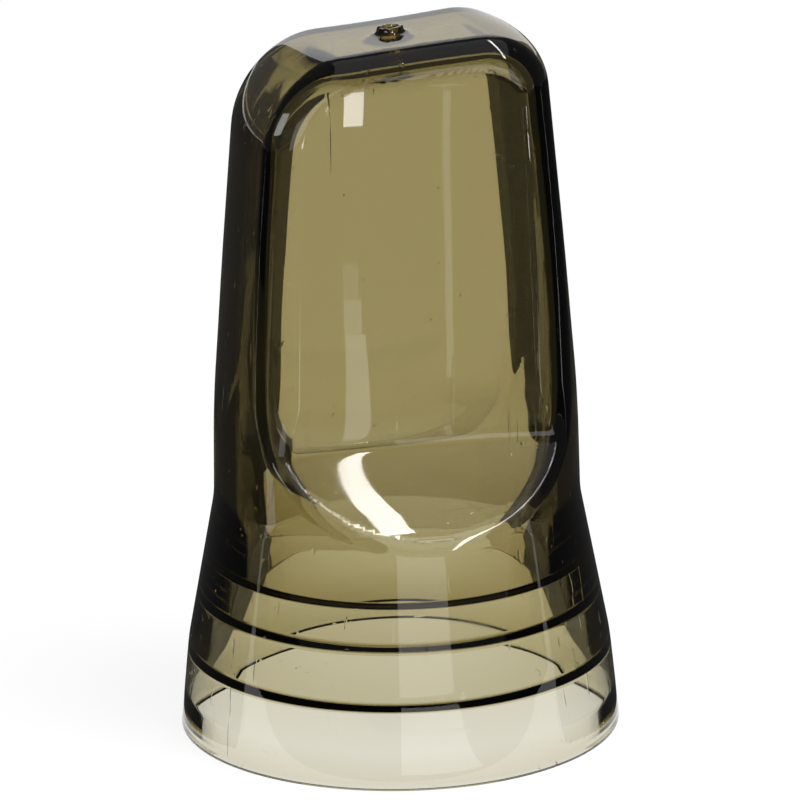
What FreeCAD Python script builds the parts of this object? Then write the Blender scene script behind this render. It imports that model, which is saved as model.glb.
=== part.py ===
import FreeCAD, Part
import math
import os
import Sketcher

# Slip-over dust cap of a bottle pourer: one injection moulding in transparent
# plastic. Millimetres, +Z up, origin at the centre of the mouth rim's plane,
# +X along the width of the two finger grips, which face +Y and -Y.

os.makedirs("parts", exist_ok=True)
doc = FreeCAD.newDocument("PourerCap")
V = FreeCAD.Vector

# ---------------------------------------------------------------- dimensions
DIMS = [
    # outer skin, bottom to top
    ("rim_radius", 22.0, "mouth rim, outside"),
    ("lip_top", 8.8, "top of the steeper mouth lip"),
    ("lip_radius", 21.06, "outside there"),
    ("waist_low", 23.7, "lower edge of the straight waist band"),
    ("waist_low_radius", 18.2, "outside there"),
    ("waist_top", 31.0, "upper edge of the waist band, foot of the grips"),
    ("waist_top_radius", 18.05, "outside there"),
    ("cap_height", 70.1, "centre of the top face"),
    ("crown_radius", 16.45, "drafted body radius at that height"),
    ("side_bulge", 30.0, "radius of the flattened sides, seen from above"),
    ("side_low", 18.07, "half width across the sides at the foot of the grips"),
    ("side_high", 14.5, "the same at the height of the top face"),
    ("top_rise", 0.088, "slope of the top face along X, mm per mm"),
    ("shoulder", 6.6, "rounding of the shoulders"),
    ("rim_round", 0.4, "rounding of the rim's outer edge"),
    # finger grips: shallow hollows swept about a far upright axis
    ("grip_sweep", 75.0, "radius of the hollow, seen from above"),
    ("grip_low", 9.0, "half depth in the middle of a grip, at its foot"),
    ("grip_high", 8.3, "the same at the height of the top face"),
    ("scoop_radius", 26.0, "curve of the run-out, seen from the side"),
    ("scoop_over", 1.1, "how far the cutter passes the waist band"),
    # walls
    ("wall", 1.9, "side wall above the waist"),
    ("top_wall", 2.2, "wall of the top face"),
    # stepped mouth, inside
    ("mouth_radius", 20.95, "straight land at the rim"),
    ("mouth_low", 0.5, "start of that land"),
    ("mouth_high", 3.5, "end of that land"),
    ("mouth_flare", 0.35, "lead-in at the rim"),
    ("step_c_low", 7.5, "third ledge, lower corner"),
    ("step_c_low_r", 20.35, "radius there"),
    ("step_c_high", 8.05, "third ledge, upper corner"),
    ("step_c_high_r", 19.25, "radius there"),
    ("step_b_low", 12.95, "second ledge, lower corner"),
    ("step_b_low_r", 18.55, "radius there"),
    ("step_b_high", 13.55, "second ledge, upper corner"),
    ("step_b_high_r", 17.55, "radius there"),
    ("step_a_low", 17.1, "first ledge, lower corner"),
    ("step_a_low_r", 17.3, "radius there"),
    ("step_a_high", 17.3, "first ledge, upper corner"),
    ("socket_radius", 16.1, "straight socket above the ledges"),
    ("socket_high", 22.2, "upper end of the straight socket, under the grips' run-out"),
    ("core_waist_radius", 16.0, "drafted wall between the grips, at their foot"),
    ("core_waist", 30.05, "inside corner at the foot of the grips"),
    # gate nib on the top face
    ("nib_radius", 1.2, "gate nib"),
    ("nib_height", 0.75, "above the top face"),
    ("nib_dish", 0.72, "radius of the hollow left in its tip"),
    ("nib_dish_depth", 0.35, "depth of that hollow"),
]
sheet = doc.addObject("Spreadsheet::Sheet", "dims")
D = {}
for row, (alias, value, note) in enumerate(DIMS, start=1):
    sheet.set("A%d" % row, alias)
    sheet.set("B%d" % row, str(value))
    sheet.setAlias("B%d" % row, alias)
    sheet.set("C%d" % row, note)
    D[alias] = float(value)
doc.recompute()


def value_of(expr):
    """The number an expression of the sheet's aliases has now."""
    names = {"dims_" + k: v for k, v in D.items()}
    total = 0.0
    # expressions here are sums of signed products, so they are read term by term
    for sign, term in split_terms(expr):
        product = 1.0
        for op, factor in split_factors(term):
            number = names["dims_" + factor[5:]] if factor.startswith("dims.") else float(factor)
            product = product * number if op == "*" else product / number
        total += sign * product
    return total


def split_terms(expr):
    out, sign, word = [], 1.0, ""
    for ch in expr.replace(" ", ""):
        if ch in "+-" and word:
            out.append((sign, word))
            word = ""
            sign = 1.0 if ch == "+" else -1.0
        elif ch in "+-":
            sign = sign if ch == "+" else -sign
        else:
            word += ch
    out.append((sign, word))
    return out


def split_factors(term):
    out, op, word = [], "*", ""
    for ch in term:
        if ch in "*/":
            out.append((op, word))
            op, word = ch, ""
        else:
            word += ch
    out.append((op, word))
    return out


def plane(body, role):
    return [f for f in body.Origin.OriginFeatures if f.Role == role][0]


def new_sketch(body, name, role, flip=False):
    sk = body.newObject("Sketcher::SketchObject", name)
    sk.AttachmentSupport = [(plane(body, role), "")]
    sk.MapMode = "FlatFace"
    if flip:  # turned about the upright, so that its X runs the other way
        sk.AttachmentOffset = FreeCAD.Placement(V(0, 0, 0), FreeCAD.Rotation(V(0, 1, 0), 180))
    return sk


def pin_point(geo, pos, tag, ex, ey):
    """Constraints that fix one vertex at (ex, ey), each an expression of the sheet."""
    out = []
    for axis, kind, text in (("x", "DistanceX", ex), ("y", "DistanceY", ey)):
        number = value_of(text)
        if abs(number) < 1e-9:
            target = -2 if axis == "x" else -1
            out.append((Sketcher.Constraint("PointOnObject", geo, pos, target), None, None))
        elif number > 0:
            out.append((Sketcher.Constraint(kind, -1, 1, geo, pos, number), "%s_%s" % (tag, axis), text))
        else:
            out.append((Sketcher.Constraint(kind, geo, pos, -1, 1, -number), "%s_%s" % (tag, axis), "-(" + text + ")"))
    return out


def constrain(sk, rules):
    """Adds all the constraints in one step, then names and binds those with an expression."""
    first = sk.ConstraintCount
    sk.addConstraint([r[0] for r in rules])
    for k, (_, cname, text) in enumerate(rules):
        if cname:
            sk.renameConstraint(first + k, cname)
            sk.setExpression("Constraints." + cname, text)


def outline(sk, points, arcs=None, axis_at=None):
    """A closed outline of lines, with arcs {segment: radius expression} that bow to the left of their chord."""
    arcs = arcs or {}
    n = len(points)
    xy = [V(value_of(a), value_of(b), 0) for a, b in points]
    thirds = {}
    for i in range(n):
        p, q = xy[i], xy[(i + 1) % n]
        if i in arcs:
            rad = value_of(arcs[i])
            chord = q - p
            half = chord.Length / 2.0
            left = V(-chord.y, chord.x, 0).normalize()
            centre = (p + q) * 0.5 - left * math.sqrt(rad * rad - half * half)
            thirds[i] = centre + left * rad
            turn = [math.atan2(w.y - centre.y, w.x - centre.x) for w in (q, p)]
            if turn[1] < turn[0]:
                turn[1] += 2 * math.pi
            sk.addGeometry(Part.ArcOfCircle(Part.Circle(centre, V(0, 0, 1), rad), turn[0], turn[1]), False)
        else:
            sk.addGeometry(Part.LineSegment(p, q), False)
    ends = []
    for i in range(n):
        near = (sk.Geometry[i].StartPoint - xy[i]).Length < 1e-6
        ends.append((1, 2) if near else (2, 1))
    rules = []
    for i in range(n):
        j = (i + 1) % n
        rules.append((Sketcher.Constraint("Coincident", i, ends[i][1], j, ends[j][0]), None, None))
    for i in range(n):
        rules += pin_point(i, ends[i][0], "p%d" % i, points[i][0], points[i][1])
    for i in arcs:
        rules.append((Sketcher.Constraint("Radius", i, value_of(arcs[i])), "arc%d" % i, arcs[i]))
    if axis_at is not None:
        a = value_of(axis_at)
        line = sk.addGeometry(Part.LineSegment(V(a, 0, 0), V(a, 10, 0)), True)
        rules.append((Sketcher.Constraint("Vertical", line), None, None))
        rules += pin_point(line, 1, "axis_foot", axis_at, "0")
        rules.append((Sketcher.Constraint("DistanceY", line, 1, line, 2, 10.0), None, None))
    constrain(sk, rules)
    sk.solve()
    for i, third in thirds.items():
        g = sk.Geometry[i]
        half_way = g.value((g.FirstParameter + g.LastParameter) / 2.0)
        if (half_way - third).Length > 0.01:
            raise RuntimeError("%s: arc %d bows the wrong way" % (sk.Name, i))


def both_ways(feature):
    if "SideType" in feature.PropertiesList:
        feature.SideType = "Symmetric"
    else:
        feature.Midplane = True


def edges_where(shape, test):
    return ["Edge%d" % (i + 1) for i, e in enumerate(shape.Edges) if test(e)]


def samples(e, n=9):
    a, b = e.ParameterRange
    return [e.valueAt(a + (b - a) * k / (n - 1.0)) for k in range(n)]


def checked(feature, what, before=None, less=None):
    doc.recompute()
    if feature.Shape.isNull() or not feature.Shape.isValid():
        raise RuntimeError(what + " gave no valid shape")
    if before is not None:
        now = feature.Shape.Volume
        if less and not now < before - 1.0:
            raise RuntimeError(what + " removed nothing")
        if less is False and not now > before:
            raise RuntimeError(what + " added nothing")
    return feature


# ------------------------------------------------- the two upright bodies
# The drafted wall is carried 3 mm above the top face and cut back to its slope.
def drafted(offset):
    """Radius of the drafted wall 3 mm above the top face, less an offset."""
    run = D["cap_height"] - D["waist_top"]
    k = 3.0 / run
    return "dims.crown_radius + %.9f * dims.crown_radius - %.9f * dims.waist_top_radius%s" % (k, k, offset)


def make_body(name, profile, inset, top_z, shoulder_expr, sweep_expr, low_y, high_y, foot_z, out_y, out_z, scoop_expr):
    body = doc.addObject("PartDesign::Body", name)
    sk = new_sketch(body, name + "_profile", "XZ_Plane")
    outline(sk, profile)
    rev = body.newObject("PartDesign::Revolution", name + "_revolved")
    rev.Profile = sk
    rev.ReferenceAxis = (sk, ["V_Axis"])
    rev.Angle = 360.0
    sk.Visibility = False
    checked(rev, name + " revolution")

    # the sloping top
    before = rev.Shape.Volume
    sk = new_sketch(body, name + "_top_slope", "XZ_Plane")
    outline(sk, [
        ("-30", top_z + " - 30 * dims.top_rise"),
        ("30", top_z + " + 30 * dims.top_rise"),
        ("30", top_z + " + 12"),
        ("-30", top_z + " + 12"),
    ])
    cut = body.newObject("PartDesign::Pocket", name + "_top_cut")
    cut.Profile = sk
    cut.Type = 0
    cut.Length = 90.0
    both_ways(cut)
    sk.Visibility = False
    checked(cut, name + " top cut", before, True)

    # flattened sides, leaning in with height: each is turned about a far upright axis
    more = 12.0 / (D["cap_height"] - D["waist_top"])
    for tag, flip in (("right", False), ("left", True)):
        before = cut.Shape.Volume
        sk = new_sketch(body, "%s_%s_side" % (name, tag), "XZ_Plane", flip=flip)
        outline(sk, [
            ("dims.side_low" + inset, "dims.waist_top"),
            ("60", "dims.waist_top"),
            ("60", "dims.cap_height + 12"),
            ("%.9f * dims.side_high - %.9f * dims.side_low%s" % (1 + more, more, inset), "dims.cap_height + 12"),
        ], None, "dims.side_low - dims.side_bulge")
        fl = body.newObject("PartDesign::Groove", "%s_%s_flat" % (name, tag))
        fl.Profile = sk
        fl.ReferenceAxis = (sk, ["Axis0"])
        fl.Angle = 360.0
        sk.Visibility = False
        checked(fl, "%s %s side" % (name, tag), before, True)
        cut = fl

    # rounded shoulders all round the top
    zt = value_of(top_z)
    rim = edges_where(cut.Shape, lambda e: all(abs(p.z - zt - D["top_rise"] * p.x) < 0.05 for p in samples(e)))
    sh = body.newObject("PartDesign::Fillet", name + "_shoulders")
    sh.Base = (cut, rim)
    sh.setExpression("Radius", shoulder_expr)
    checked(sh, name + " shoulders")

    # a hollow grip on each side, with its curved run-out
    last = sh
    for tag, flip in (("back", False), ("front", True)):
        before = last.Shape.Volume
        sk = new_sketch(body, "%s_%s_grip" % (name, tag), "YZ_Plane", flip=flip)
        axis_y = sweep_expr + " + " + low_y
        outline(sk, [
            (axis_y, out_z),
            (out_y, out_z),
            (low_y, foot_z),
            (high_y, "dims.cap_height + 8"),
            (axis_y, "dims.cap_height + 8"),
        ], {1: scoop_expr}, axis_y)
        gr = body.newObject("PartDesign::Groove", "%s_%s_hollow" % (name, tag))
        gr.Profile = sk
        gr.ReferenceAxis = (sk, ["Axis0"])
        gr.Angle = 360.0
        sk.Visibility = False
        checked(gr, "%s %s grip" % (name, tag), before, True)
        last = gr

    body.Tip = last
    return body, last


outer, skin = make_body(
    "cap_skin",
    [
        ("0", "0"),
        ("dims.rim_radius", "0"),
        ("dims.lip_radius", "dims.lip_top"),
        ("dims.waist_low_radius", "dims.waist_low"),
        ("dims.waist_top_radius", "dims.waist_top"),
        (drafted(""), "dims.cap_height + 3"),
        ("0", "dims.cap_height + 3"),
    ],
    "",
    "dims.cap_height",
    "dims.shoulder",
    "dims.grip_sweep",
    "dims.grip_low",
    "dims.grip_high",
    "dims.waist_top",
    "dims.waist_low_radius + dims.scoop_over",
    "dims.waist_low - 0.75 * dims.scoop_over",
    "dims.scoop_radius",
)

# rounded outer edge of the rim
low = edges_where(skin.Shape, lambda e: all(abs(p.z) < 1e-4 for p in samples(e)))
rim_round = outer.newObject("PartDesign::Fillet", "rim_edge")
rim_round.Base = (skin, low)
rim_round.setExpression("Radius", "dims.rim_round")
checked(rim_round, "rim edge")

# gate nib: a low stub with a dished tip
before = rim_round.Shape.Volume
sk = new_sketch(outer, "nib_profile", "XZ_Plane")
outline(sk, [
    ("0", "dims.cap_height - 0.8"),
    ("dims.nib_radius + 0.12", "dims.cap_height - 0.8"),
    ("dims.nib_radius", "dims.cap_height + dims.nib_height"),
    ("dims.nib_dish", "dims.cap_height + dims.nib_height"),
    ("dims.nib_dish - 0.2", "dims.cap_height + dims.nib_height - dims.nib_dish_depth"),
    ("0", "dims.cap_height + dims.nib_height - dims.nib_dish_depth"),
])
nib = outer.newObject("PartDesign::Revolution", "gate_nib")
nib.Profile = sk
nib.ReferenceAxis = (sk, ["V_Axis"])
nib.Angle = 360.0
sk.Visibility = False
checked(nib, "gate nib", before, False)
outer.Tip = nib

core, core_skin = make_body(
    "cap_core",
    [
        ("0", "-3"),
        ("dims.mouth_radius + dims.mouth_flare", "-3"),
        ("dims.mouth_radius + dims.mouth_flare", "0"),
        ("dims.mouth_radius", "dims.mouth_low"),
        ("dims.mouth_radius", "dims.mouth_high"),
        ("dims.step_c_low_r", "dims.step_c_low"),
        ("dims.step_c_high_r", "dims.step_c_high"),
        ("dims.step_b_low_r", "dims.step_b_low"),
        ("dims.step_b_high_r", "dims.step_b_high"),
        ("dims.step_a_low_r", "dims.step_a_low"),
        ("dims.socket_radius", "dims.step_a_high"),
        ("dims.socket_radius", "dims.socket_high"),
        ("dims.core_waist_radius", "dims.core_waist"),
        (drafted(" - dims.wall"), "dims.cap_height + 3"),
        ("0", "dims.cap_height + 3"),
    ],
    " - dims.wall",
    "dims.cap_height - dims.top_wall",
    "dims.shoulder - dims.wall",
    "dims.grip_sweep + dims.wall",
    "dims.grip_low - dims.wall",
    "dims.grip_high - dims.wall",
    "dims.core_waist",
    "dims.waist_low_radius - dims.wall + 0.8 * dims.scoop_over + 0.55",
    "dims.waist_low - 1.25 - 0.6 * dims.scoop_over",
    "dims.scoop_radius + dims.wall",
)

# ------------------------------------------------------------ the moulding
cap = doc.addObject("Part::Cut", "pourer_cap")
cap.Base = outer
cap.Tool = core
cap.Label = "pourer_cap"
cap.Placement = FreeCAD.Placement(V(0, 0, 0), FreeCAD.Rotation())
doc.recompute()

for o in doc.Objects:
    if any(s in ("Invalid", "Error") for s in o.State):
        raise RuntimeError("%s is in state %s" % (o.Name, o.State))
for o in (outer, core, cap):
    if o.Shape.isNull() or not o.Shape.isValid():
        raise RuntimeError(o.Name + " has no valid shape")
if len(cap.Shape.Solids) != 1:
    raise RuntimeError("the moulding is not one solid")

for o in (cap,):
    o.Shape.exportStep("parts/%s.step" % o.Label)
bb = cap.Shape.BoundBox
print("pourer_cap", "volume %.1f mm3" % cap.Shape.Volume, "box", [round(v, 3) for v in (bb.XMin, bb.XMax, bb.YMin, bb.YMax, bb.ZMin, bb.ZMax)])
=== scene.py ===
import math

import bpy
import numpy as np
from mathutils import Matrix, Vector


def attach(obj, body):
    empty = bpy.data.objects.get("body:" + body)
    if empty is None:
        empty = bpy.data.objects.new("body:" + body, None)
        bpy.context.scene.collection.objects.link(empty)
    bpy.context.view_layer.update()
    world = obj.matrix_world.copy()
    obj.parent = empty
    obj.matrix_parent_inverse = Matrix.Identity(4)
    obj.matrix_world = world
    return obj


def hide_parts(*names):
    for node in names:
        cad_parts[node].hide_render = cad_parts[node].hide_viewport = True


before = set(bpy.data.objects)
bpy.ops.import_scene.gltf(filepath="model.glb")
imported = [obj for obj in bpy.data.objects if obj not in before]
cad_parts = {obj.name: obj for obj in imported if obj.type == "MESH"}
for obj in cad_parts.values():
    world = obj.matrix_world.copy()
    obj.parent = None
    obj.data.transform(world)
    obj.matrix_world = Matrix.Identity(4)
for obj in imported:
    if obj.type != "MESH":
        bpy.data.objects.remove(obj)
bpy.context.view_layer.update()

# --------------------------------------------------------------- the shape, mm
# The same dimensions as the CAD moulding, with its moulded edges rounded over.
H = 70.1
RISE = 0.088
SHOULDER = 6.6
Z_LIP, R_LIP = 8.8, 21.06
Z_LOW, R_LOW = 23.7, 18.2
Z_TOP, R_TOP = 31.0, 18.05
R_RIM = 22.0
R_CROWN = 16.45
BULGE, SIDE_LOW, SIDE_HIGH = 30.0, 18.07, 14.5
SWEEP = 75.0
G_LOW, G_HIGH = 9.0, 8.3
SCOOP = 26.0
OVER = 1.1
WALL, TOP_WALL = 1.9, 2.2


def smooth(x, a, b):
    u = np.clip((x - a) / (b - a), 0.0, 1.0)
    return u * u * (3 - 2 * u)


def polyline(z, pts, soft):
    """A profile through pts (z, r), its corners eased over soft mm either side."""
    z = np.asarray(z, float)
    zs = np.array([p[0] for p in pts])
    rs = np.array([p[1] for p in pts])
    k = np.diff(rs) / np.diff(zs)
    r = rs[0] + k[0] * (z - zs[0])
    for i in range(1, len(zs) - 1):
        w = soft[i] if isinstance(soft, (list, tuple)) else soft
        d = z - zs[i]
        ramp = np.where(d > w, d, np.where(d < -w, 0.0, (d + w) ** 2 / (4 * w)))
        r = r + (k[i] - k[i - 1]) * ramp
    return r


def both(a, b, rad):
    """Distance to where two half-spaces overlap, with a rounded edge."""
    u = np.maximum(a + rad, 0.0)
    v = np.maximum(b + rad, 0.0)
    return np.minimum(np.maximum(a + rad, b + rad), 0.0) + np.sqrt(u * u + v * v) - rad


def arc_centre(p, q, rad):
    """Centre of the arc from p to q that bows to the left of its chord."""
    p, q = np.array(p), np.array(q)
    chord = q - p
    half = np.linalg.norm(chord) / 2
    left = np.array([-chord[1], chord[0]]) / (2 * half)
    return (p + q) / 2 - left * math.sqrt(rad * rad - half * half)


def grip_line(low, high, foot, out, rad, ease):
    """Half depth in the middle of a grip against height, with its run-out."""
    c = arc_centre(out, (low, foot), rad)
    top = (H + 8.0)

    def depth(z, y=0.0):
        z = np.asarray(z, float)
        soft = np.where(np.asarray(y) > 0, ease[1], ease[0])
        straight = low + (high - low) * (z - foot) / (top - foot)
        inside = np.clip(rad * rad - (z - c[1]) ** 2, 0.0, None)
        run = c[0] - np.sqrt(inside)
        # past either end of the arc the run-out goes on at its last slope
        zl = out[1]
        slope = (zl - c[1]) / math.sqrt(rad * rad - (zl - c[1]) ** 2)
        run = np.where(z < zl, out[0] + slope * (z - zl), run)
        slope_f = (foot - c[1]) / math.sqrt(rad * rad - (foot - c[1]) ** 2)
        run = np.where(z > foot, low + slope_f * (z - foot), run)
        d = straight - run  # positive above the foot
        return 0.5 * (straight + run + np.sqrt(d * d + soft * soft))

    return depth


def solid(profile, soft, cap_z, shoulder, depth, sweep, grip_edge, low_edge, shift):
    """Signed distance (roughly) of a drafted body with its sloping top and two hollow grips."""
    ya = sweep + G_LOW

    def f(x, y, z):
        r = np.sqrt(x * x + y * y)
        e = 0.02
        rz = polyline(z, profile, soft)
        slope = (polyline(z + e, profile, soft) - polyline(z - e, profile, soft)) / (2 * e)
        side = (r - rz) / np.sqrt(1 + slope * slope)
        # flattened sides, leaning in with height
        lean = (SIDE_LOW - SIDE_HIGH) / (H - Z_TOP)
        x0 = SIDE_LOW - shift - lean * (z - Z_TOP)
        rho = BULGE - shift
        flat = (np.sqrt((np.abs(x) + rho - x0) ** 2 + y * y) - rho) / math.sqrt(1 + lean * lean)
        flat = np.where(z > Z_TOP - shift * 0.5, flat, -50.0)
        k = 0.45
        h = np.maximum(k - np.abs(side - flat), 0.0)
        fade = smooth(z, Z_TOP, Z_TOP + 12.0)
        side = np.maximum(side, flat) + fade * h * h / (4 * k)
        top = (z - cap_z - RISE * x) / math.sqrt(1 + RISE * RISE)
        # the left shoulder is rounder than the right
        body = both(side, top, shoulder + 0.35 - 0.09 * x)
        dz = depth(z, y)
        dsl = (depth(z + e, y) - depth(z - e, y)) / (2 * e)
        far = np.sqrt(x * x + (np.abs(y) - ya) ** 2)
        grip = ((ya - dz) - far) / np.sqrt(1 + dsl * dsl)
        edge = low_edge + (grip_edge - low_edge) * smooth(z, Z_TOP - 2.0, Z_TOP + 5.0)
        return both(body, grip, edge)

    return f


k_over = 3.0 / (H - Z_TOP)
OUT_PROFILE = [
    (-2.0, R_RIM + (R_RIM - R_LIP) / Z_LIP * 2.0),
    (Z_LIP, R_LIP),
    (Z_LOW, R_LOW),
    (Z_TOP, R_TOP),
    (H + 3.0, R_CROWN + k_over * (R_CROWN - R_TOP)),
]
out_depth = grip_line(G_LOW, G_HIGH, Z_TOP, (R_LOW + OVER, Z_LOW - 0.75 * OVER), SCOOP, (0.45, 1.5))
outer_f = solid(OUT_PROFILE, [0, 1.1, 0.9, 0.9, 0], H, SHOULDER, out_depth, SWEEP, 2.6, 0.8, 0.0)

IN_PROFILE = [
    (-3.0, 20.95 + 0.35 + 1.75),
    (0.5, 20.95),
    (3.5, 20.95),
    (7.5, 20.35),
    (8.05, 19.25),
    (12.95, 18.55),
    (13.55, 17.55),
    (17.1, 17.3),
    (17.3, 16.1),
    (22.2, 16.1),
    (30.05, 16.0),
    (H + 3.0, R_CROWN + k_over * (R_CROWN - R_TOP) - WALL),
]
IN_SOFT = [0, 0.12, 0.3, 0.10, 0.16, 0.10, 0.14, 0.05, 0.05, 0.5, 0.8, 0]
in_depth = grip_line(
    G_LOW - WALL, G_HIGH - WALL, 30.05,
    (R_LOW - WALL + 0.8 * OVER + 0.55, Z_LOW - 1.25 - 0.6 * OVER), SCOOP + WALL, (1.3, 1.8),
)
inner_f = solid(IN_PROFILE, IN_SOFT, H - TOP_WALL, SHOULDER - WALL, in_depth, SWEEP, 1.6, 0.8, WALL)


def angles(n, focus, width, gain):
    """n azimuths round a circle, closer together near each focus angle."""
    t = np.linspace(0, 2 * np.pi, 7201)
    w = np.ones_like(t)
    for a in focus:
        for s in (a, np.pi - a, np.pi + a, 2 * np.pi - a):
            w += gain * np.exp(-(((t - s) / width) ** 2))
    c = np.concatenate([[0], np.cumsum((w[1:] + w[:-1]) / 2)])
    c /= c[-1]
    return np.interp(np.arange(n) / n, c, t)


def levels(marks, step, fine, reach):
    """Heights from marks[0] to marks[-1], finer near each mark."""
    z = [marks[0]]
    while z[-1] < marks[-1] - 1e-6:
        d = min(abs(z[-1] - m) for m in marks[1:-1]) if len(marks) > 2 else 99
        s = fine + (step - fine) * min(1.0, max(0.0, d / reach))
        z.append(min(z[-1] + s, marks[-1]))
    return np.array(z)


def on_ray(f, origin, direction, far):
    """Where f turns positive along each ray, by halving."""
    lo = np.zeros(direction.shape[0])
    hi = np.full(direction.shape[0], far)
    for _ in range(46):
        mid = (lo + hi) / 2
        p = origin + direction * mid[:, None]
        inside = f(p[:, 0], p[:, 1], p[:, 2]) < 0
        lo = np.where(inside, mid, lo)
        hi = np.where(inside, hi, mid)
    return origin + direction * ((lo + hi) / 2)[:, None]


def normals_of(f, p):
    e = 0.012
    g = np.stack(
        [
            f(p[:, 0] + e, p[:, 1], p[:, 2]) - f(p[:, 0] - e, p[:, 1], p[:, 2]),
            f(p[:, 0], p[:, 1] + e, p[:, 2]) - f(p[:, 0], p[:, 1] - e, p[:, 2]),
            f(p[:, 0], p[:, 1], p[:, 2] + e) - f(p[:, 0], p[:, 1], p[:, 2] - e),
        ],
        axis=1,
    )
    return g / np.maximum(np.linalg.norm(g, axis=1), 1e-12)[:, None]


def shell(f, phi, heights, centre, lifts, far=60.0):
    """Rings of points: level rays up to the centre's height, then rays that lift to the top."""
    rings = []
    c, s = np.cos(phi), np.sin(phi)
    flat = np.stack([c, s, np.zeros_like(c)], axis=1)
    for z in heights:
        rings.append(on_ray(f, np.array([0, 0, z]), flat, far))
    for e in lifts:
        d = np.stack([c * math.cos(e), s * math.cos(e), np.full_like(c, math.sin(e))], axis=1)
        rings.append(on_ray(f, np.array([0, 0, centre]), d, far))
    return rings


N = 280
phi_out = angles(N, [math.radians(35.5), math.radians(31), math.radians(46)], math.radians(5.0), 1.0)
z_out = levels([0.0, 0.02, 0.1, 0.25, 0.42, Z_LIP, Z_LOW, Z_TOP, 52.0], 0.95, 0.16, 3.5)
z_out = z_out[z_out > 0.001]
z_out = np.sort(np.concatenate([z_out[(z_out < 21.3) | (z_out > 33.2)], np.arange(21.4, 33.2, 0.27)]))
lifts_out = np.radians(np.concatenate([np.linspace(2, 30, 12), np.linspace(31.2, 66, 34), np.linspace(67.5, 80.0, 9)]))
rings_out = shell(outer_f, phi_out, z_out, 52.0, lifts_out)

# the top face inside that, with the gate nib at its middle
c, s = np.cos(phi_out), np.sin(phi_out)
NIB = [
    (2.6, 0.0), (2.1, 0.0), (1.8, 0.015), (1.6, 0.055), (1.45, 0.13), (1.35, 0.24), (1.29, 0.38), (1.25, 0.52),
    (1.20, 0.64), (1.12, 0.71), (1.02, 0.735), (0.91, 0.73), (0.81, 0.69), (0.74, 0.60), (0.68, 0.48),
    (0.60, 0.41), (0.45, 0.375), (0.28, 0.37), (0.12, 0.37),
]
nib_rings = []
for k, (r, dz) in enumerate(NIB):
    # a broken-off gate isn't quite round or level
    wob = 1 + 0.035 * np.sin(3 * phi_out + 0.6) * (r < 1.7) + 0.02 * np.sin(7 * phi_out + 1.9) * (r < 1.3)
    rough = (0.05 * np.sin(5 * phi_out + 0.4) + 0.035 * np.sin(9 * phi_out + 2.2)) * (dz > 0.45)
    x, y = r * wob * c, r * wob * s
    z = np.minimum(H + RISE * x + dz + rough * 0.7 - 0.05 * (dz > 0.45), 70.83)
    nib_rings.append(np.stack([x, y, z], axis=1))

UNDER = [(3.2, 0.0), (2.6, 0.0), (2.2, 0.03), (1.95, 0.12), (1.75, 0.26), (1.5, 0.42), (1.2, 0.56), (0.8, 0.68), (0.35, 0.74)]
phi_in = angles(N, [math.radians(33), math.radians(29), math.radians(44)], math.radians(5.0), 1.0)
z_in = levels([0.0, 0.5, 3.5, 7.5, 8.05, 12.95, 13.55, 17.1, 17.3, 22.2, 30.05, 52.0], 1.0, 0.10, 2.4)
z_in = np.sort(np.concatenate([z_in[(z_in < 20.6) | (z_in > 32.4)], np.arange(20.7, 32.4, 0.3)]))
lifts_in = np.radians(np.concatenate([np.linspace(2, 28, 9), np.linspace(29.5, 64, 24), np.linspace(66, 76.0, 8)]))
rings_in = shell(inner_f, phi_in, z_in, 52.0, lifts_in)
under_rings = []
for r, dz in UNDER:
    x, y = r * np.cos(phi_in), r * np.sin(phi_in)
    under_rings.append(np.stack([x, y, H - TOP_WALL + RISE * x - dz], axis=1))


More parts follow.
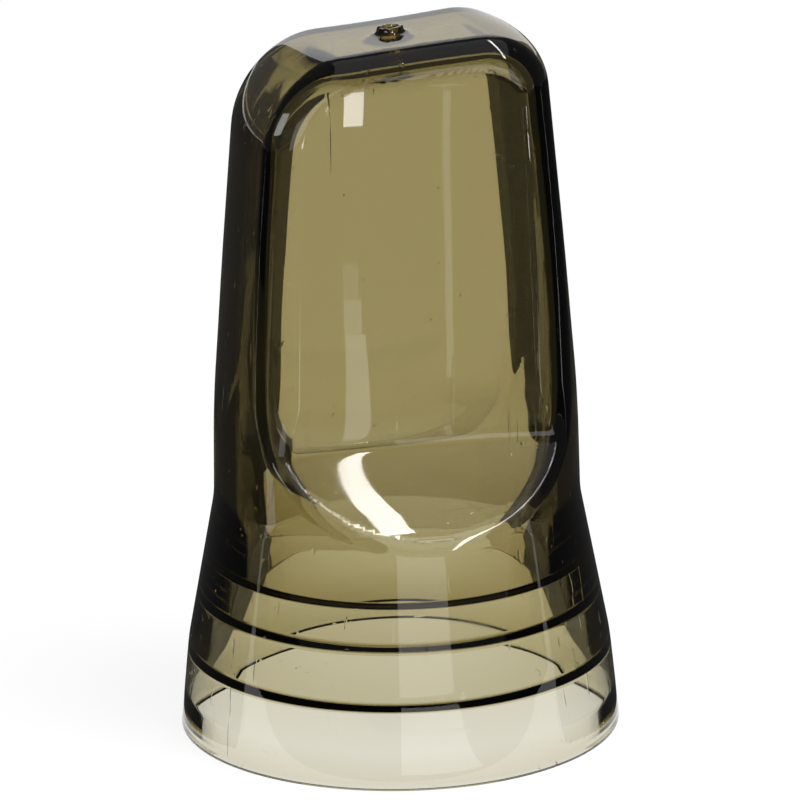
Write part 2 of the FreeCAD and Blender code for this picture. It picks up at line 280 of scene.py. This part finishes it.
def assemble():
    verts, norms, faces = [], [], []

    def add_rings(rings, f, flip):
        first = len(verts) and sum(len(v) for v in verts)
        for r in rings:
            verts.append(r)
            n = normals_of(f, r)
            norms.append(-n if flip else n)
        for k in range(len(rings) - 1):
            a = first + k * N
            b = a + N
            i = np.arange(N)
            j = (i + 1) % N
            q = np.stack([a + i, a + j, b + j, b + i], axis=1)
            faces.append(q[:, ::-1] if flip else q)
        return first, first + (len(rings) - 1) * N

    o_first, o_last = add_rings(rings_out, outer_f, False)
    # the nib's rings: normals by its own slope
    start = sum(len(v) for v in verts)
    allr = [rings_out[-1]] + nib_rings
    for k, r in enumerate(nib_rings):
        a = allr[k]
        b = allr[k + 2] if k + 2 < len(allr) else np.repeat(r.mean(axis=0, keepdims=True), N, axis=0)
        along = b - a
        around = np.roll(r, -1, axis=0) - np.roll(r, 1, axis=0)
        n = np.cross(around, along)
        n /= np.maximum(np.linalg.norm(n, axis=1), 1e-12)[:, None]
        verts.append(r)
        norms.append(n)
    i = np.arange(N)
    j = (i + 1) % N
    prev = o_last
    for k in range(len(nib_rings)):
        b = start + k * N
        faces.append(np.stack([prev + i, prev + j, b + j, b + i], axis=1))
        prev = b
    tip = sum(len(v) for v in verts)
    verts.append(nib_rings[-1].mean(axis=0, keepdims=True))
    norms.append(np.array([[0.0, 0.0, 1.0]]))
    tris = [np.stack([prev + i, prev + j, np.full(N, tip)], axis=1)]

    i_first, i_last = add_rings(rings_in, inner_f, True)
    start2 = sum(len(v) for v in verts)
    allr = [rings_in[-1]] + under_rings
    for k, r in enumerate(under_rings):
        a = allr[k]
        b = allr[k + 2] if k + 2 < len(allr) else np.repeat(r.mean(axis=0, keepdims=True), N, axis=0)
        n = np.cross(np.roll(r, -1, axis=0) - np.roll(r, 1, axis=0), b - a)
        n /= np.maximum(np.linalg.norm(n, axis=1), 1e-12)[:, None]
        verts.append(r)
        norms.append(-n)
    for k in range(len(under_rings)):
        b = start2 + k * N
        faces.append(np.stack([i_last + i, b + i, b + j, i_last + j], axis=1))
        i_last = b
    tip2 = sum(len(v) for v in verts)
    mid = under_rings[-1].mean(axis=0, keepdims=True)
    verts.append(mid)
    norms.append(np.array([[0.0, 0.0, -1.0]]))
    tris.append(np.stack([i_last + j, i_last + i, np.full(N, tip2)], axis=1))

    # flat rim between the two, as its own rings so that its normals stay level
    o0, i0 = rings_out[0], rings_in[0]
    ro = np.hypot(o0[:, 0], o0[:, 1])
    ri = np.hypot(i0[:, 0], i0[:, 1])
    rim_o = np.stack([c * ro, s * ro, np.zeros(N)], axis=1)
    rim_i = np.stack([np.cos(phi_out) * ri[0], np.sin(phi_out) * ri[0], np.zeros(N)], axis=1)
    b = sum(len(v) for v in verts)
    verts.append(rim_o)
    norms.append(np.tile([0.0, 0.0, -1.0], (N, 1)))
    verts.append(rim_i)
    norms.append(np.tile([0.0, 0.0, -1.0], (N, 1)))
    faces.append(np.stack([o_first + i, b + i, b + j, o_first + j], axis=1)[:, ::1])
    faces.append(np.stack([b + i, b + N + i, b + N + j, b + j], axis=1))
    faces.append(np.stack([b + N + i, i_first + i, i_first + j, b + N + j], axis=1))
    return np.vstack(verts), np.vstack(norms), np.vstack(faces), np.vstack(tris)


# the two surfaces share azimuths at the rim
rings_in[0] = np.stack([c * 21.3, s * 21.3, np.zeros(N)], axis=1)
blend_rows = 6
for k in range(1, len(z_in)):
    if z_in[k] < 16.0:
        r = polyline(np.array([z_in[k]]), IN_PROFILE, IN_SOFT)[0]
        t = min(1.0, z_in[k] / 15.0)
        p = phi_out + (phi_in - phi_out) * t
        rings_in[k] = np.stack([np.cos(p) * r, np.sin(p) * r, np.full(N, z_in[k])], axis=1)

verts, norms, quads, tris = assemble()
mesh = bpy.data.meshes.new("pourer_cap_moulding")
mesh.from_pydata((verts * 0.001).tolist(), [], quads.tolist() + tris.tolist())
mesh.validate()
mesh.update()
for p in mesh.polygons:
    p.use_smooth = True
mesh.normals_split_custom_set_from_vertices(norms.tolist())
cap = bpy.data.objects.new("pourer_cap_moulding", mesh)
bpy.context.scene.collection.objects.link(cap)

# ------------------------------------------------------------- the material
mat = bpy.data.materials.new("smoke_plastic")
mat.use_nodes = True
nt = mat.node_tree
nt.nodes.clear()
out = nt.nodes.new("ShaderNodeOutputMaterial")
pr = nt.nodes.new("ShaderNodeBsdfPrincipled")
nt.links.new(pr.outputs["BSDF"], out.inputs["Surface"])
pr.inputs["Base Color"].default_value = (1.0, 1.0, 1.0, 1.0)
pr.inputs["Transmission Weight"].default_value = 1.0
pr.inputs["IOR"].default_value = 1.57
absorb = nt.nodes.new("ShaderNodeVolumeAbsorption")
# clear styrenic plastic with a smoke tint: absorption per metre in each colour
TINT = (290.0, 335.0, 560.0)
DENSITY = 640.0
absorb.inputs["Color"].default_value = (1 - TINT[0] / DENSITY, 1 - TINT[1] / DENSITY, 1 - TINT[2] / DENSITY, 1)
absorb.inputs["Density"].default_value = DENSITY
nt.links.new(absorb.outputs["Volume"], out.inputs["Volume"])

coords = nt.nodes.new("ShaderNodeTexCoord")


def node(kind, **values):
    n = nt.nodes.new(kind)
    for k, v in values.items():
        if k in n.inputs:
            n.inputs[k].default_value = v
        else:
            setattr(n, k, v)
    return n


def noise_at(scale, detail, stretch=None, turn=None, rough=0.5):
    n = node("ShaderNodeTexNoise", Scale=scale, Detail=detail, Roughness=rough)
    if stretch or turn:
        m = node("ShaderNodeMapping")
        if turn:
            m.inputs["Rotation"].default_value = turn
        if stretch:
            m.inputs["Scale"].default_value = stretch
        nt.links.new(coords.outputs["Object"], m.inputs["Vector"])
        nt.links.new(m.outputs["Vector"], n.inputs["Vector"])
    else:
        nt.links.new(coords.outputs["Object"], n.inputs["Vector"])
    return n


def ramp(source, low, high, a, b):
    m = node("ShaderNodeMapRange")
    m.inputs["From Min"].default_value = low
    m.inputs["From Max"].default_value = high
    m.inputs["To Min"].default_value = a
    m.inputs["To Max"].default_value = b
    nt.links.new(source, m.inputs["Value"])
    return m.outputs["Result"]


# roughness: polished, with faint handling marks
smear = noise_at(160.0, 3.0, stretch=(1.0, 1.0, 0.35))
rough = ramp(smear.outputs["Fac"], 0.45, 0.75, 0.012, 0.055)
nt.links.new(rough, pr.inputs["Roughness"])

# height: slow moulding waviness, hairline scratches, a few specks
wave = noise_at(95.0, 1.0, stretch=(1.0, 1.0, 0.45))
b1 = node("ShaderNodeBump", Strength=0.12, Distance=0.0004)
nt.links.new(wave.outputs["Fac"], b1.inputs["Height"])

s1 = noise_at(900.0, 2.0, stretch=(1.0, 1.0, 0.03), turn=(0.25, 0.4, 0.2))
s1v = ramp(s1.outputs["Fac"], 0.70, 0.74, 0.0, 1.0)
s2 = noise_at(1100.0, 2.0, stretch=(0.035, 1.0, 1.0), turn=(0.1, 0.5, 0.9))
s2v = ramp(s2.outputs["Fac"], 0.72, 0.76, 0.0, 1.0)
add = node("ShaderNodeMath", operation="ADD")
nt.links.new(s1v, add.inputs[0])
nt.links.new(s2v, add.inputs[1])
b2 = node("ShaderNodeBump", Strength=0.35, Distance=0.00004)
nt.links.new(add.outputs["Value"], b2.inputs["Height"])
nt.links.new(b1.outputs["Normal"], b2.inputs["Normal"])

vor = node("ShaderNodeTexVoronoi", Scale=260.0)
nt.links.new(coords.outputs["Object"], vor.inputs["Vector"])
speck = ramp(vor.outputs["Distance"], 0.02, 0.05, 1.0, 0.0)
b3 = node("ShaderNodeBump", Strength=0.5, Distance=0.00006)
nt.links.new(speck, b3.inputs["Height"])
nt.links.new(b2.outputs["Normal"], b3.inputs["Normal"])
nt.links.new(b3.outputs["Normal"], pr.inputs["Normal"])
mesh.materials.append(mat)

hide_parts("pourer_cap")
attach(cap, "root")

# ---------------------------------------------------------------- the camera
CAM_DIST, CAM_ELEV, CAM_TURN, CAM_ROLL = 0.5435, 16.43, -12.65, 0.9
AIM = Vector((0.0, 0.0, 0.035))


def back_vector(turn, elev):
    a, e = math.radians(turn), math.radians(elev)
    return Vector((math.sin(a) * math.cos(e), -math.cos(a) * math.cos(e), math.sin(e)))


cam_data = bpy.data.cameras.new("camera")
cam = bpy.data.objects.new("camera", cam_data)
bpy.context.scene.collection.objects.link(cam)
bpy.context.scene.camera = cam
back = back_vector(CAM_TURN, CAM_ELEV)
right = Vector((0, 0, 1)).cross(back).normalized()
up = back.cross(right).normalized()
r = math.radians(CAM_ROLL)
right2 = right * math.cos(r) - up * math.sin(r)
up2 = up * math.cos(r) + right * math.sin(r)
rot = Matrix((right2, up2, back)).transposed()
cam.matrix_world = Matrix.Translation(AIM + back * CAM_DIST) @ rot.to_4x4()
cam_data.sensor_width = 36.0
PX_PER_MM = 10.12
focal_px = CAM_DIST * 1000 * PX_PER_MM
cam_data.lens = focal_px * 36.0 / 800.0
cam_data.clip_start, cam_data.clip_end = 0.02, 20.0
cam_data.shift_x = (400.0 - 395.3) / 800.0
cam_data.shift_y = (380.0 - 400.0) / 800.0

# ----------------------------------------------------------------- the stage
scene = bpy.context.scene
scene.view_settings.view_transform = "Standard"
scene.view_settings.look = "None"
scene.view_settings.exposure = 0.0
scene.view_settings.gamma = 1.0


def plain(name, colour, strength, diffuse):
    m = bpy.data.materials.new(name)
    m.use_nodes = True
    t = m.node_tree
    t.nodes.clear()
    o = t.nodes.new("ShaderNodeOutputMaterial")
    e = t.nodes.new("ShaderNodeEmission")
    e.inputs["Color"].default_value = (*colour, 1)
    e.inputs["Strength"].default_value = strength
    if diffuse:
        d = t.nodes.new("ShaderNodeBsdfDiffuse")
        d.inputs["Color"].default_value = (diffuse, diffuse, diffuse, 1)
        a = t.nodes.new("ShaderNodeAddShader")
        t.links.new(e.outputs[0], a.inputs[0])
        t.links.new(d.outputs[0], a.inputs[1])
        t.links.new(a.outputs[0], o.inputs["Surface"])
    else:
        t.links.new(e.outputs[0], o.inputs["Surface"])
    return m


def sheet(name, corners, material):
    me = bpy.data.meshes.new(name)
    me.from_pydata(corners, [], [tuple(range(len(corners)))])
    me.update()
    ob = bpy.data.objects.new(name, me)
    ob.data.materials.append(material)
    bpy.context.scene.collection.objects.link(ob)
    return ob


floor_mat = plain("floor", (1.0, 1.0, 1.0), 0.90, 0.22)
R = 3.0
floor = sheet("floor", [(-R, -R, -0.00005), (R, -R, -0.00005), (R, R, -0.00005), (-R, R, -0.00005)], floor_mat)

world = bpy.data.worlds.new("studio")
scene.world = world
world.use_nodes = True
wn = world.node_tree
wn.nodes.clear()
wo = wn.nodes.new("ShaderNodeOutputWorld")
bg = wn.nodes.new("ShaderNodeBackground")
bg.inputs["Color"].default_value = (1, 1, 1, 1)
bg.inputs["Strength"].default_value = 0.10
bg2 = wn.nodes.new("ShaderNodeBackground")
bg2.inputs["Color"].default_value = (1.0, 1.0, 1.0, 1)
bg2.inputs["Strength"].default_value = 1.0
lp = wn.nodes.new("ShaderNodeLightPath")
mx = wn.nodes.new("ShaderNodeMixShader")
wn.links.new(lp.outputs["Is Camera Ray"], mx.inputs["Fac"])
wn.links.new(bg.outputs[0], mx.inputs[1])
wn.links.new(bg2.outputs[0], mx.inputs[2])
wn.links.new(mx.outputs[0], wo.inputs["Surface"])


def card(name, corners_mm, strength, through, tint=(1.0, 1.0, 1.0)):
    """A studio card that only shows in reflections, and through the plastic if asked."""
    ob = sheet(name, [tuple(v * 0.001 for v in c) for c in corners_mm], plain(name, tint, strength, 0.0))
    ob.visible_camera = False
    ob.visible_diffuse = False
    ob.visible_shadow = False
    ob.visible_volume_scatter = False
    ob.visible_glossy = True
    ob.visible_transmission = through
    return ob


# directions along the table, seen from the cap: away from the camera, and to its right
AWAY = (-math.sin(math.radians(CAM_TURN)), math.cos(math.radians(CAM_TURN)))
SIDE = (AWAY[1], -AWAY[0])


def table(depth, side, z):
    return (AWAY[0] * depth + SIDE[0] * side, AWAY[1] * depth + SIDE[1] * side, z)


# painted shade: black cards on the table behind the cap, either side of a lit lane, unseen by the camera and seen only
# through the plastic and in its reflections
for sgn, tag in ((1, "right"), (-1, "left")):
    pts = [(34, 20.0), (100, 24.0), (1400, 85.0), (1400, 2800), (-14, 2800), (-14, 23.2), (14, 22.6)]
    c = [table(d, sgn * v, 0.4) for d, v in pts]
    card("table_black_" + tag, c if sgn > 0 else c[::-1], 0.04, True)
# and in front of it, for its reflections only: painted shade in the cap's reflections
card("table_black_front", [table(d, v, 0.3) for d, v in ((-2800, -2800), (-2800, 2800), (-26, 2800), (-26, -2800))],
     0.03, False)

# strip softbox overhead, right of the camera
L = [(262, -600), (165, -185), (146, -100), (131, -18), (119, 95), (115, 150)]
Rr = [(238, -600), (149, -185), (131, -105), (114, -15), (104, 95), (100, 150)]
for k in range(len(L) - 1):
    card("strip_%d" % k, [(*L[k], 480), (*Rr[k], 480), (*Rr[k + 1], 480), (*L[k + 1], 480)], 16.0, False, (1.0, 0.98, 0.95))
# painted pools of light: glowing cards on the table for what the same softbox throws there, seen only in reflections
for tag, y0, y1, power in (("a", -197, -178, 0.7), ("b", -178, -160, 1.4), ("c", -160, -121, 2.0)):
    q = [(72 - 32 * (-197 - y) / -76.0, y) for y in (y0, y1)]
    card("glow_" + tag, [(q[0][0], y0, 1), (q[0][0] - 6, y0 - 2, 1), (q[1][0] - 5, y1 - 2, 1), (q[1][0], y1, 1)], power, False,
         (1.0, 0.97, 0.9))
# more painted pools of light on the table, seen only in reflections
card("glow_f", [(112, -300, 1), (98, -304, 1), (92, -281, 1), (104, -277, 1)], 9.0, False, (1.0, 0.98, 0.95))
card("glow_g", [(119, -324, 1), (107, -328, 1), (101, -312, 1), (113, -308, 1)], 5.0, False, (1.0, 0.98, 0.95))
card("glow_h", [(47, -320, 1), (42, -320, 1), (22, -149, 1), (24, -149, 1)], 1.2, False, (1.0, 0.97, 0.9))
# window card to the left, and a pale wall far behind
card("left_card", [(-400, -330, 170), (-480, -60, 170), (-480, -60, 350), (-400, -330, 350)], 4.0, False)
# pale wall at the lane's far end, seen through the plastic and on the top face
card("lane_end", [(*table(900, -230, 0)[:2], 0), (*table(900, 230, 0)[:2], 0), (*table(900, 230, 0)[:2], 900),
                  (*table(900, -230, 0)[:2], 900)], 0.9, True)
# contact shadow under the rim
ring = [(math.cos(t) * q, math.sin(t) * q) for q in (20.9, 21.95) for t in [2 * math.pi * i / 96 for i in range(96)]]
rim_me = bpy.data.meshes.new("contact")
rim_me.from_pydata([(x * 0.001, y * 0.001, -0.00002) for x, y in ring], [],
                   [(i, (i + 1) % 96, 96 + (i + 1) % 96, 96 + i) for i in range(96)])
rim_me.materials.append(plain("contact", (1.0, 1.0, 1.0), 0.0, 0.0))
contact = bpy.data.objects.new("contact", rim_me)
bpy.context.scene.collection.objects.link(contact)
contact.visible_camera = contact.visible_diffuse = contact.visible_shadow = False
card("back_wall", [(*table(640, -85, 0)[:2], 2), (*table(640, 85, 0)[:2], 2), (*table(640, 85, 0)[:2], 150),
                   (*table(640, -85, 0)[:2], 150)], 0.95, False, (0.95, 0.98, 1.0))
# the front softbox: upright, with a painted pool of its light on the table before the rim
upright = [table(-450, v, 0) for v in (-5, 235)]
card("front_box", [(*upright[0][:2], 2), (*upright[1][:2], 2), (*upright[1][:2], 130), (*upright[0][:2], 130)], 1.5, False,
     (1.0, 0.97, 0.95))
# painted pool of light: a glowing card on the table, seen only in reflections
card("front_glow", [table(-27, 0, 0.8), table(-100, 0, 0.8), table(-90, 46, 0.8), table(-25, 12.5, 0.8)], 1.4, False,
     (1.0, 0.97, 0.95))
# a weak wide box overhead, for the haze on the run-outs
card("haze", [(-20, -520, 520), (300, -520, 520), (260, 240, 520), (-40, 240, 520)], 0.45, False)


def area(name, at, to, size_x, size_y, power, roll=0.0):
    d = bpy.data.lights.new(name, "AREA")
    d.shape = "RECTANGLE"
    d.size, d.size_y = size_x, size_y
    d.energy = power
    o = bpy.data.objects.new(name, d)
    o.location = at
    v = Vector(to) - Vector(at)
    o.rotation_euler = v.to_track_quat("-Z", "Y").to_euler()
    o.rotation_euler.rotate_axis("Z", roll)
    bpy.context.scene.collection.objects.link(o)
    return o


soft = area("soft", (0.35, -0.35, 1.1), (0, 0, 0.03), 0.5, 0.5, 8.0)
soft.visible_glossy = False
soft.visible_transmission = False
